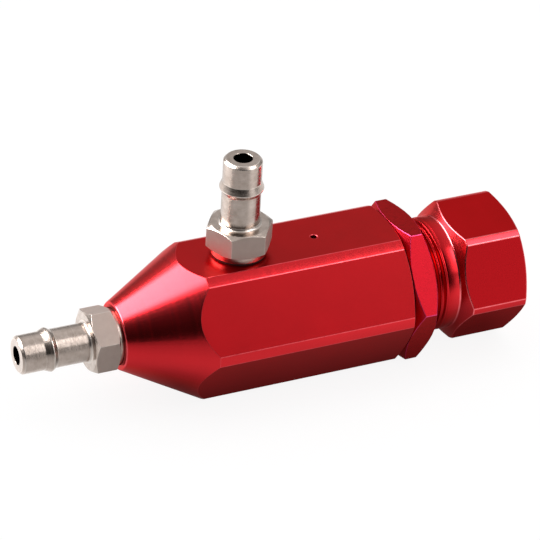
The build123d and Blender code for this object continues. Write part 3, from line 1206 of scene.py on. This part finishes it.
@dataclass(frozen=True)
class HoseFitting:
    """A nickel-plated fitting: threaded shank, collar, hexagon, and a barb with one bead. Its heights
    count from the foot of its seat, where the seal lies."""

    node: str
    seat: Seat
    corner_turn: float
    across_flats: float = 9.2
    hex_low: float = 1.38
    hex_high: float = 5.33
    hex_chamfer_angle: float = 30.0
    hex_top_diameter: float = 8.9
    edge_length: float = 0.08
    hex_rounding: float = 0.08
    hex_face_rounding: float = 0.06
    hex_back_rounding: float = 0.02
    collar_diameter: float = 8.76
    collar_edge: float = 0.12
    collar_back_rounding: float = 0.04
    collar_rounding: float = 0.06
    collar_root_rounding: float = 0.1
    shank_diameter: float = 5.9
    shank_length: float = 5.0
    shank_chamfer: float = 0.5
    height: float = 16.475
    barb_diameter: float = 6.0
    bore_diameter: float = 2.9
    bore_chamfer: float = 0.06
    bore_rounding: float = 0.03
    tip_chamfer: float = 0.4
    tip_rounding: float = 0.25
    bead_diameter: float = 6.9
    bead_from_tip: float = 4.93
    bead_lead: float = 1.15
    bead_back: float = 0.7
    bead_rounding: float = 0.3
    bead_back_rounding: float = 0.2
    bead_lead_rounding: float = 0.25
    root_rounding: float = 0.45

    def build(self, finishes: Finishes) -> bpy.types.Object:
        """Build the fitting's mesh and dress it.

        Its hexagon's chamfers meet a column at a rise of (reach - radius) times their slope. The painted
        bore shade mask goes from 0 at the mouth of its bore to 1 where the mouth's chamfer ends, and darkens
        the bore as painted shade.

        Args:
            finishes: The materials.

        Returns:
            The piece, riding on the housing.
        """
        bar = HexBar(self.across_flats, self.corner_turn, edge_length=self.edge_length)
        columns = bar.columns().closed()
        reach = columns.reach
        slope = tan(radians(self.hex_chamfer_angle))
        low_radius = self.across_flats / 2
        top_radius = self.hex_top_diameter / 2
        shank = self.shank_diameter / 2
        shank_end = SEAL_THICKNESS - self.shank_length
        collar = self.collar_diameter / 2
        barb = self.barb_diameter / 2
        bore = self.bore_diameter / 2
        mouth = bore + self.bore_chamfer
        bead = self.height - self.bead_from_tip
        corners = [
            Corner(shank_end, bore),
            Corner(shank_end, shank - self.shank_chamfer),
            Corner(shank_end + self.shank_chamfer, shank),
            Corner(SEAL_THICKNESS, shank),
            Corner(SEAL_THICKNESS, collar - self.collar_edge, self.collar_back_rounding),
            Corner(SEAL_THICKNESS + self.collar_edge, collar, self.collar_rounding),
            Corner(self.hex_low, collar, self.collar_root_rounding),
            Corner(self.hex_low, low_radius, self.hex_back_rounding),
            Corner(self.hex_low + (reach - low_radius) * slope, reach, self.hex_rounding, on_bar=True),
            Corner(self.hex_high - (reach - top_radius) * slope, reach, self.hex_rounding),
            Corner(self.hex_high, top_radius, self.hex_face_rounding),
            Corner(self.hex_high, barb, self.root_rounding),
            Corner(bead - self.bead_back, barb, self.bead_back_rounding),
            Corner(bead, self.bead_diameter / 2, self.bead_rounding),
            Corner(bead + self.bead_lead, barb, self.bead_lead_rounding),
            Corner(self.height - self.tip_chamfer, barb, self.tip_rounding),
            Corner(self.height, barb - self.tip_chamfer, self.tip_rounding),
            Corner(self.height, mouth, self.bore_rounding),
            Corner(self.height - self.bore_chamfer, bore, self.bore_rounding),
        ]
        skin = trace(corners, columns)
        shape = cover(skin, columns, self.seat)
        # painted shade inside the bore, full where the mouth's chamfer ends
        shape.deep = np.clip((mouth - skin.out) / self.bore_chamfer, 0, 1).ravel()
        piece = shape.mesh(f"{self.node}_plated")
        finishes.dress(piece, NICKEL)
        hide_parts(self.node)
        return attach(piece, Body.HOUSING.value)


@dataclass(frozen=True)
class FlatSeal:
    """The thin ring under a fitting's collar."""

    node: str
    seat: Seat
    inner_radius: float = 3.1
    outer_radius: float = 4.2
    inner_rounding: float = 0.04
    outer_rounding: float = 0.06
    steps: int = 96

    def build(self, finishes: Finishes) -> bpy.types.Object:
        """Build the seal's mesh and dress it.

        Args:
            finishes: The materials.

        Returns:
            The piece, riding on the housing.
        """
        columns = round_columns(self.outer_radius, self.steps).closed()
        corners = [
            Corner(0.0, self.inner_radius, self.inner_rounding),
            Corner(0.0, self.outer_radius, self.outer_rounding),
            Corner(SEAL_THICKNESS, self.outer_radius, self.outer_rounding),
            Corner(SEAL_THICKNESS, self.inner_radius, self.inner_rounding),
        ]
        piece = cover(trace(corners, columns), columns, self.seat).mesh(f"{self.node}_ring")
        finishes.dress(piece, RUBBER)
        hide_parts(self.node)
        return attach(piece, Body.HOUSING.value)


@dataclass(frozen=True)
class LockNut:
    """The thin hexagonal nut, from start_x, where the housing ends."""

    start_x: float
    bore_radius: float
    across_flats: float = 22.0
    corner_turn: float = 115.8
    thickness: float = 3.8
    chamfer_angle: float = 30.0
    mouth_chamfer: float = 0.5
    edge_rounding: float = 0.12
    face_rounding: float = 0.08
    mouth_rounding: float = 0.05

    def build(self, finishes: Finishes) -> bpy.types.Object:
        """Build the nut's mesh and dress it.

        The chamfer meets a column at a rise of (reach - half the size across flats) times its slope.

        Args:
            finishes: The materials.

        Returns:
            The piece, riding on the lock nut.
        """
        bar = HexBar(self.across_flats, self.corner_turn, edge_length=self.edge_rounding)
        columns = bar.columns().closed()
        reach = columns.reach
        rise = (reach - self.across_flats / 2) * tan(radians(self.chamfer_angle))
        end_x = self.start_x + self.thickness
        mouth = self.bore_radius + self.mouth_chamfer
        corners = [
            Corner(self.start_x, mouth, self.mouth_rounding),
            Corner(self.start_x, self.across_flats / 2, self.face_rounding),
            Corner(self.start_x + rise, reach, self.edge_rounding, on_bar=True),
            Corner(end_x - rise, reach, self.edge_rounding),
            Corner(end_x, self.across_flats / 2, self.face_rounding),
            Corner(end_x, mouth, self.mouth_rounding),
            Corner(end_x - self.mouth_chamfer, self.bore_radius, self.mouth_rounding),
            Corner(self.start_x + self.mouth_chamfer, self.bore_radius, self.mouth_rounding),
        ]
        piece = cover(trace(corners, columns), columns, MAIN).mesh("lock_nut_anodised")
        finishes.dress(piece, ETCHED_RED)
        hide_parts("lock_nut")
        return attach(piece, Body.LOCK_NUT.value)


@dataclass(frozen=True)
class Adjuster:
    """The knob, its neck and its threaded stem, in one piece.

    The thread's rows stand at crest_rows, in half widths of the crest from its middle, and at root_rows,
    in pitches from the root's edge.
    """

    across_flats: float = 19.75
    turned_diameter: float = 22.2
    corner_turn: float = 126.6
    stem_x: float = 16.2
    stem_chamfer: float = 0.8
    thread_radius: float = 9.0
    thread_pitch: float = 1.0
    thread_end_x: float = 32.6
    thread_depth: float = 0.5413
    crest_width: float = 0.125
    root_width: float = 0.25
    crest_rows: tuple[float, ...] = (0.0, 0.7, 1.3)
    root_rows: tuple[float, ...] = (-0.16, -0.02, 0.03)
    thread_fade: float = 1.1
    thread_shine: float = 0.35
    neck_end_x: float = 34.35
    neck_rounding: float = 0.35
    shoulder_angle: float = 35.0
    corner_length: float = 9.22
    end_chamfer_length: float = 0.67
    end_chamfer_angle: float = 22.0
    pocket_radius: float = 3.8
    pocket_depth: float = 3.8
    edge_length: float = 0.14
    edge_rounding: float = 0.26
    face_rounding: float = 0.08
    stem_rounding: float = 0.1

    def groove(self, share: np.ndarray) -> np.ndarray:
        """How deep the thread is cut, by the share of a pitch from one crest's middle to the next.

        The depth is the full one over the root's width, rises in straight flanks, and is nothing
        over the crest's width.

        Args:
            share: Places in the pitch, from 0 to 1.

        Returns:
            The depths, in millimetres.
        """
        from_root = np.abs(share - 0.5) * self.thread_pitch
        flank = (self.thread_pitch - self.crest_width - self.root_width) / 2
        return self.thread_depth * np.clip((self.root_width / 2 + flank - from_root) / flank, 0, 1)

    def thread(self, columns: Columns) -> tuple[np.ndarray, np.ndarray]:
        """Rows that follow the right-hand helix.

        Each row starts at its place along the axis and moves on by the pitch over one turn, held
        between the thread's two ends, so that the rows' ends meet the starts of those one pitch on.

        Args:
            columns: The directions, with the closing one.

        Returns:
            The distances along and out, rows by columns.
        """
        start_x = self.stem_x + self.stem_chamfer
        crest = self.crest_width / 2 / self.thread_pitch
        root = self.root_width / 2 / self.thread_pitch
        near = [crest * place for place in self.crest_rows]
        near += [0.5 - root + place for place in self.root_rows]
        shares = np.array([*near, 0.5, *(1 - share for share in near[:0:-1])])
        turns = ceil((self.thread_end_x - start_x) / self.thread_pitch) + 1
        whole = np.arange(-2, turns)[:, None]
        rows = (whole + shares).ravel()[:, None]
        advance = (columns.turn - columns.turn[0]) / (2 * pi)
        along = np.clip(start_x + self.thread_pitch * (rows + advance), start_x, self.thread_end_x)
        depth = self.groove(np.tile(shares, len(whole)))[:, None]
        from_ends = np.minimum(along - start_x, self.thread_end_x - along)
        fade = np.clip(from_ends / self.thread_fade, 0, 1)
        return along, self.thread_radius - depth * fade

    def build(self, finishes: Finishes) -> bpy.types.Object:
        """Build the adjuster's mesh and dress it.

        The shoulder meets a column at the neck's end plus (reach - neck's radius) times its slope, and
        the end's chamfer at the end less (reach - face's radius) times its own. The thread's rows go in
        before the row where the neck starts.

        Args:
            finishes: The materials.

        Returns:
            The piece, riding on the adjuster.
        """
        bar = HexBar(self.across_flats, self.corner_turn, self.turned_diameter, self.edge_length)
        columns = bar.columns().closed()
        reach = columns.reach
        radius = self.thread_radius
        shoulder_slope = tan(radians(self.shoulder_angle))
        end_slope = tan(radians(self.end_chamfer_angle))
        corner_x = self.neck_end_x + (self.turned_diameter / 2 - radius) * shoulder_slope
        end_x = corner_x + self.corner_length + self.end_chamfer_length
        face_radius = self.turned_diameter / 2 - self.end_chamfer_length / end_slope
        floor_x = self.stem_x + self.pocket_depth
        edge = self.edge_rounding
        neck_start = Corner(self.thread_end_x, radius)
        corners = [
            Corner(floor_x, 0.0),
            Corner(floor_x, self.pocket_radius),
            Corner(self.stem_x, self.pocket_radius, self.stem_rounding),
            Corner(self.stem_x, radius - self.stem_chamfer, self.stem_rounding),
            Corner(self.stem_x + self.stem_chamfer, radius),
            neck_start,
            Corner(self.neck_end_x, radius, self.neck_rounding),
            Corner(self.neck_end_x + (reach - radius) * shoulder_slope, reach, edge, on_bar=True),
            Corner(end_x - (reach - face_radius) * end_slope, reach, edge),
            Corner(end_x, face_radius, self.face_rounding),
            Corner(end_x, 0.0),
        ]
        skin = trace(corners, columns)
        thread_end = next(row for row, corner in zip(skin.first_rows, corners) if corner is neck_start)
        skin.splice(thread_end, *self.thread(columns), self.thread_shine)
        piece = cover(skin, columns, MAIN).mesh("adjuster_knob_and_stem")
        finishes.dress(piece, KNOB_RED)
        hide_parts("adjuster")
        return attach(piece, Body.ADJUSTER.value)


@dataclass(frozen=True)
class ValveSpring:
    """The coil spring between the ball and the stem's pocket, with its ends ground flat."""

    wire_diameter: float = 1.0
    mean_diameter: float = 6.2
    turns: float = 7.0
    ground: float = 0.25
    wire_steps: int = 16
    steps_per_turn: int = 48
    wire_per_length: float = 8.0  # millimetres of wire to one of spring, about

    def build(self, finishes: Finishes) -> bpy.types.Object:
        """Build the spring's mesh and dress it.

        A point of the wire is the helix's point plus the wire's radius times the cosine of its turn
        outwards and the sine of its turn across the helix. The wire stops flat at the ground ends.

        Args:
            finishes: The materials.

        Returns:
            The piece, with its place baked into its mesh.
        """
        low, high = (corner.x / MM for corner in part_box("valve_spring"))
        wire = self.wire_diameter / 2
        coil = self.mean_diameter / 2
        start = low - self.ground + wire
        length = high - low + 2 * self.ground - 2 * wire
        count = int(self.turns * self.steps_per_turn)
        share = np.linspace(0, 1, count + 1)
        share = np.concatenate([share[:1], share, share[-1:]])[:, None]
        size = np.full_like(share, wire)
        size[[0, -1]] = 0.0
        around = (np.arange(self.wire_steps + 1) * 2 * pi / self.wire_steps)[None]
        turn = share * self.turns * 2 * pi
        rise = np.arctan2(length, 2 * pi * coil * self.turns)
        out = coil + size * np.cos(around)
        along = np.clip(start + share * length + size * np.sin(around) * cos(rise), low, high)
        swing = turn - size * np.sin(around) * sin(rise) / coil
        points = MAIN.place(along, out, swing)
        grid = numbers(*along.shape)
        quads = np.stack([grid[:-1, :-1], grid[1:, :-1], grid[1:, 1:], grid[:-1, 1:]], axis=-1)
        station = (share * length * self.wire_per_length + around * 0).ravel()
        plain = np.zeros(grid.size)
        shape = Shape(points.reshape(-1, 3), quads.reshape(-1, 4), station, plain, plain)
        piece = shape.mesh("valve_spring_coil")
        finishes.dress(piece, SPRING_STEEL)
        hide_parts("valve_spring")
        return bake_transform(piece)


# Studio

class Reach(Enum):
    """Which surfaces a lamp shows on: metal alone, or matt ones alone."""

    METAL = "metal"
    MATT = "matt"


def pose(x_axis: Vector, y_axis: Vector, z_axis: Vector, place: Vector) -> Matrix:
    """How a lamp or a camera stands: it looks against its own z axis.

    Args:
        x_axis: Where its x axis points.
        y_axis: Where its y axis points.
        z_axis: Where its z axis points.
        place: Where it is.

    Returns:
        Its matrix in the world.
    """
    matrix = Matrix((x_axis, y_axis, z_axis)).transposed().to_4x4()
    matrix.translation = place
    return matrix


@dataclass(frozen=True)
class Softbox:
    """An area lamp that faces the object: the direction and distance that it stands at, the direction
    that its length lies along, its length and width in metres, the brightness of its face, and the
    surfaces that it shows on."""

    name: str
    direction: Triple
    along: Triple
    size: tuple[float, float]
    brightness: float
    distance: float
    reach: Reach

    def build(self, target: Vector) -> None:
        """Hang the lamp. Its power is pi times its area times its brightness.

        Args:
            target: The point that it faces.
        """
        lamp = bpy.data.lights.new(self.name, "AREA")
        lamp.shape = "RECTANGLE"
        lamp.size, lamp.size_y = self.size
        lamp.energy = pi * self.size[0] * self.size[1] * self.brightness
        back = Vector(self.direction).normalized()
        across = back.cross(Vector(self.along)).normalized()
        holder = put_in_scene(self.name, lamp)
        holder.matrix_world = pose(across.cross(back), across, back, target + back * self.distance)
        holder.visible_diffuse = self.reach is Reach.MATT
        holder.visible_glossy = self.reach is Reach.METAL


@dataclass(frozen=True)
class PaintedFloorReflectionCard:
    """A glowing card lying on the floor that shows in metal alone and paints light and shade there: a
    painted shadow under the object, painted shade in front of it on the left, where upright metal looks away
    from the lamps, and painted pools of light on the lamps' two sides.

    Lengths are in metres and turns in degrees, from Y towards X. Each row of stops has a row of levels.
    """

    half: float = 0.40
    steps: int = 80
    height: float = 0.0004
    footprint_middle: float = 0.0172
    footprint_half_length: float = 0.0288
    footprint_half_width: float = 0.0064
    # painted shadow round the object's footprint, by distance from it
    painted_shadow_stops: tuple[float, ...] = (0.0, 0.005, 0.012, 0.030, 0.060)
    painted_shadow_levels: tuple[float, ...] = (0.12, 0.28, 0.62, 0.88, 1.0)
    turn_stops: tuple[float, ...] = (0.0, 60.0, 95.0, 145.0, 165.0, 262.0, 275.0, 305.0, 340.0, 360.0)
    painted_light_levels: tuple[float, ...] = (1.0, 1.1, 1.4, 1.3, 1.1, 1.1, 1.7, 1.9, 1.3, 1.0)
    shade_stops: tuple[float, ...] = (0.025, 0.041, 0.060, 0.20)
    shade_levels: tuple[float, ...] = (1.15, 0.82, 0.64, 0.38)
    sector_stops: tuple[float, ...] = (150.0, 168.0, 258.0, 272.0)
    sector_levels: tuple[float, ...] = (0.0, 1.0, 1.0, 0.0)

    def levels(self, x: np.ndarray, y: np.ndarray) -> np.ndarray:
        """How bright the card is at each point.

        The painted light level for the direction from the middle, times the painted shadow level for the
        distance from the object's footprint, times a painted shade that falls with the distance from the
        middle inside the shaded sector.

        Args:
            x: Places along the object's main axis, in metres.
            y: Places across it, in metres.

        Returns:
            The levels, shaped like the places.
        """
        beyond = np.maximum(np.abs(x - self.footprint_middle) - self.footprint_half_length, 0)
        gap = np.hypot(beyond, np.maximum(np.abs(y) - self.footprint_half_width, 0))
        turn = np.degrees(np.arctan2(x, y)) % 360
        shaded = np.interp(turn, self.sector_stops, self.sector_levels)
        shade = 1 + shaded * (np.interp(np.hypot(x, y), self.shade_stops, self.shade_levels) - 1)
        # painted shadow of the object on the floor, darkest at its footprint
        foot = np.interp(gap, self.painted_shadow_stops, self.painted_shadow_levels)
        return np.interp(turn, self.turn_stops, self.painted_light_levels) * foot * shade

    def build(self, floor_height: float) -> None:
        """Lay the card: a square grid, finer towards the middle, with its level as an attribute.

        A line of the grid stands at the sign times the square of its share, times the half width.

        Args:
            floor_height: The floor's height, in metres.
        """
        share = np.linspace(-1, 1, self.steps + 1)
        x, y = np.meshgrid(self.half * share * np.abs(share), self.half * share * np.abs(share))
        points = np.stack([x, y, x * 0 + floor_height + self.height], axis=-1).reshape(-1, 3)
        grid = numbers(self.steps + 1, self.steps + 1)
        quads = np.stack([grid[:-1, :-1], grid[:-1, 1:], grid[1:, 1:], grid[1:, :-1]], axis=-1)
        mesh = bpy.data.meshes.new("painted_floor_reflection")
        mesh.from_pydata(points.tolist(), [], quads.reshape(-1, 4).tolist())
        layer = mesh.attributes.new("level", "FLOAT", "POINT")
        layer.data.foreach_set("value", self.levels(x, y).ravel().astype(np.float32))
        material, wiring, shader = new_material("painted_floor_reflection")
        # the card glows with painted light and shade; it is no lamp
        wiring.feed(shader, {
            "Base Color": BLACK,
            "Specular IOR Level": 0.0,
            "Emission Color": WHITE,
            "Emission Strength": wiring.attribute("level"),
        })
        mesh.materials.append(material)
        card = put_in_scene("painted_floor_reflection", mesh)
        card.visible_camera = False
        card.visible_diffuse = False
        card.visible_shadow = False
        card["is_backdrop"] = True


@dataclass(frozen=True)
class PaperFloor:
    """The pale floor. For the light that it gives back to the object it is pale paper. The camera,
    reflections and glass see its glow, over a dim colour that takes the lamps' light and the shadow."""

    colour: Colour = (0.90, 0.90, 0.90)
    seen_colour: Colour = (0.16, 0.16, 0.16)
    glow: float = 0.90
    roughness: float = 0.9
    size: float = 3.0  # metres

    def material(self) -> bpy.types.Material:
        """Tell the rays that see the floor from those that only bring its light, and give each its share.

        Returns:
            The material.
        """
        material, wiring, shader = new_material("floor_paper")
        path = wiring.put("LightPath", {})
        seen = path.outputs["Is Camera Ray"]
        for kind in ("Is Glossy Ray", "Is Transmission Ray"):
            seen = wiring.math(Operation.ADD, seen, path.outputs[kind])
        wiring.feed(shader, {
            "Base Color": wiring.mix(seen, self.colour, self.seen_colour),
            "Roughness": self.roughness,
            "Specular IOR Level": 0.0,
            "Emission Color": WHITE,
            "Emission Strength": wiring.math(Operation.MULTIPLY, seen, self.glow),
        })
        return material

    def build(self, height: float) -> None:
        """Lay the floor, as one square.

        Args:
            height: Its height, in metres.
        """
        half = self.size / 2
        square = ((-half, -half), (half, -half), (half, half), (-half, half))
        mesh = bpy.data.meshes.new("floor")
        mesh.from_pydata([(x, y, height) for x, y in square], [], [(0, 1, 2, 3)])
        mesh.materials.append(self.material())
        put_in_scene("floor", mesh)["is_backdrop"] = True


@dataclass(frozen=True)
class Walls:
    """The soft grey round the studio: levels by the height of the direction, and levels by how near it is
    to the middle of the dark side, beside the camera. Each level follows the place that it is for."""

    height_levels: tuple[tuple[float, float], ...] = (
        (0.0, 0.32), (0.1, 0.30), (0.25, 0.36), (0.40, 0.47),
        (0.55, 0.74), (0.7, 0.80), (0.85, 0.95), (1.0, 0.85),
    )
    dark_side: Triple = (-0.60, -0.72, 0.35)
    dark_levels: tuple[tuple[float, float], ...] = ((0.0, 1.0), (0.55, 0.9), (0.8, 0.06), (1.0, 0.05))

    def build(self) -> None:
        """Light the world. Its level is the product of the two rows' levels, straight between places."""
        world = bpy.data.worlds.new("studio_walls")
        bpy.context.scene.world = world
        world.use_nodes = True
        wiring = Wiring(world.node_tree)
        direction = wiring.put("TexCoord", {}).outputs["Generated"]
        towards = wiring.put("VectorMath", {0: direction, 1: self.dark_side})
        towards.operation = "DOT_PRODUCT"
        height = wiring.put("SeparateXYZ", {0: direction}).outputs["Z"]
        high = self.level(wiring, height, self.height_levels)
        dark = self.level(wiring, towards.outputs["Value"], self.dark_levels)
        strength = wiring.math(Operation.MULTIPLY, high, dark)
        wiring.feed(wiring.nodes["Background"], {"Color": WHITE, "Strength": strength})

    @staticmethod
    def level(wiring: Wiring, value: Source, stops: Sequence[tuple[float, float]]) -> bpy.types.NodeSocket:
        """Read a level from a row of stops.

        Args:
            wiring: The world's nodes.
            value: The place.
            stops: Places from 0 to 1, each with its level.

        Returns:
            The level.
        """
        ramp = wiring.put("FloatCurve", {"Value": value})
        curve = ramp.mapping.curves[0]
        curve.points[0].location = stops[0]
        curve.points[1].location = stops[-1]
        for position, level in stops[1:-1]:
            curve.points.new(position, level)
        for point in curve.points:
            point.handle_type = "VECTOR"
        ramp.mapping.update()
        return ramp.outputs["Value"]


@dataclass(frozen=True)
class PhotoCamera:
    """The camera at the photograph's angle: angles in degrees, the distance and the point that it looks
    at in metres, and its lens and sensor in millimetres."""

    azimuth: float = -25.82
    elevation: float = 32.46
    roll: float = 3.39
    distance: float = 0.5
    target: Triple = (0.00554, 0.0, 0.01741)
    focal_length: float = 217.06
    sensor: float = 36.0
    nearest: float = 0.01  # metres

    def build(self) -> None:
        """Stand the camera on the sphere round its target, and roll it about its own view."""
        azimuth, elevation, roll = (radians(angle) for angle in (self.azimuth, self.elevation, self.roll))
        back = Vector((sin(azimuth) * cos(elevation), -cos(azimuth) * cos(elevation), sin(elevation)))
        right = Vector((cos(azimuth), sin(azimuth), 0.0))
        up = back.cross(right)
        rolled_right = cos(roll) * right + sin(roll) * up
        rolled_up = cos(roll) * up - sin(roll) * right
        lens = bpy.data.cameras.new("camera")
        lens.lens = self.focal_length
        lens.sensor_width = self.sensor
        lens.sensor_fit = "HORIZONTAL"
        lens.clip_start = self.nearest
        holder = put_in_scene("camera", lens)
        place = Vector(self.target) + back * self.distance
        holder.matrix_world = pose(rolled_right, rolled_up, back, place)
        bpy.context.scene.camera = holder


@dataclass(frozen=True)
class Studio:
    """The floor, the walls, the lamps and the camera."""

    floor: PaperFloor = PaperFloor()
    # a glowing card that paints the floor's light and the object's shadow into reflections
    card: PaintedFloorReflectionCard = PaintedFloorReflectionCard()
    walls: Walls = Walls()
    camera: PhotoCamera = PhotoCamera()
    softboxes: tuple[Softbox, ...] = (
        Softbox(
            "overhead_fill", direction=(0.0, -0.25, 0.97), along=(1.0, 0.0, 0.0), size=(0.9, 0.9),
            brightness=0.35, distance=0.6, reach=Reach.MATT,
        ),
        Softbox(
            "left_softbox", direction=(-0.648, 0.405, 0.645), along=(0.31, 0.95, -0.26), size=(0.47, 0.30),
            brightness=19.0, distance=0.5, reach=Reach.METAL,
        ),
        Softbox(
            "front_softbox", direction=(0.425, -0.579, 0.704), along=(0.02, 0.55, 0.48), size=(0.43, 0.22),
            brightness=1.72, distance=0.5, reach=Reach.METAL,
        ),
        Softbox(
            "front_core", direction=(0.545, -0.398, 0.738), along=(0.02, 0.55, 0.48), size=(0.18, 0.15),
            brightness=6.0, distance=0.45, reach=Reach.METAL,
        ),
        Softbox(
            "front_low_card", direction=(0.540, -0.840, 0.14), along=(0.90, 0.44, 0.0), size=(0.34, 0.17),
            brightness=0.90, distance=0.6, reach=Reach.METAL,
        ),
    )

    def build(self) -> None:
        """Set up the studio, with the floor at the object's lowest point."""
        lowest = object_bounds()[0][2]
        self.floor.build(lowest)
        self.card.build(lowest)
        self.walls.build()
        for softbox in self.softboxes:
            softbox.build(Vector(self.camera.target))
        self.camera.build()
        bpy.context.scene.view_settings.view_transform = "Standard"


def main() -> None:
    """Build every piece in order, then the studio."""
    logging.basicConfig(level=logging.INFO, format="%(message)s")
    finishes = Finishes()
    housing = Housing()
    top = (0.0, 0.0, housing.across_flats)
    outlet = Seat(foot=top, axis=(0.0, 0.0, 1.0), side=(1.0, 0.0, 0.0))
    nose = (housing.nose_x + housing.recess_depth, 0.0, AXIS_HEIGHT)
    inlet = Seat(foot=nose, axis=(-1.0, 0.0, 0.0), side=(0.0, 1.0, 0.0))
    pieces = [
        housing.build(finishes),
        HoseFitting("outlet_fitting", outlet, corner_turn=54.1).build(finishes),
        HoseFitting("inlet_fitting", inlet, corner_turn=-98.6).build(finishes),
        FlatSeal("outlet_seal", outlet).build(finishes),
        FlatSeal("inlet_seal", inlet).build(finishes),
        LockNut(housing.end_x, housing.thread_bore_radius).build(finishes),
        Adjuster().build(finishes),
        ValveSpring().build(finishes),
    ]
    # The ball stays the CAD model's own, with its finish alone
    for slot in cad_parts["valve_ball"].material_slots:
        slot.material = finishes.materials[BALL_STEEL]
    for piece in pieces:
        log.info("built %s", piece.name)
    Studio().build()


if __name__ == "__main__":
    main()
